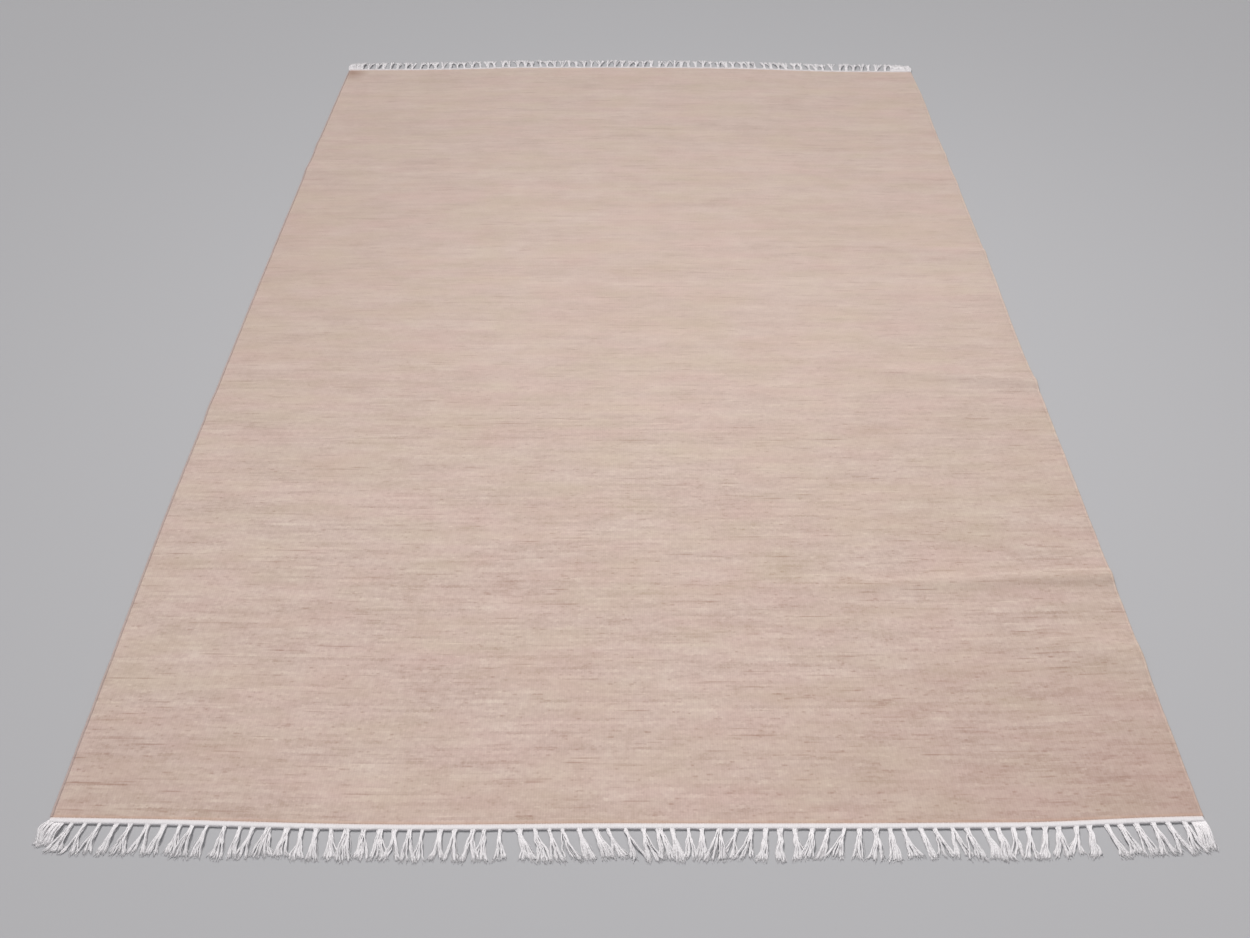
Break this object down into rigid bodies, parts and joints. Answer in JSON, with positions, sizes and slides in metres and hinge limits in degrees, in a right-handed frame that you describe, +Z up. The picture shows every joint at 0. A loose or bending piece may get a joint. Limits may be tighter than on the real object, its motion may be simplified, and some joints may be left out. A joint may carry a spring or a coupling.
{
  "type": "dhurrie rug",
  "caption": "Flat-woven wool floor rug with a plain melange field and, at each end, a white cotton heading with a loose fringe.",
  "frame": {"origin": "centre of the rug on the floor plane that its underside lies on", "axes": "+Y along the rug's length towards its far end, +X across it to the right, +Z up"},
  "size_m": [1.6301, 2.4395, 0.0088],
  "materials": {
    "wool_weave": "matt wool, weft-faced plain weave in mixed rose, beige and taupe yarns",
    "cotton_yarn": "matt white cotton yarn, packed in the headings and loose in the fringe"
  },
  "bodies": {
    "root": {"rug_field": "wool_weave", "front_fringe": "cotton_yarn", "back_fringe": "cotton_yarn"}
  },
  "joints": []
}
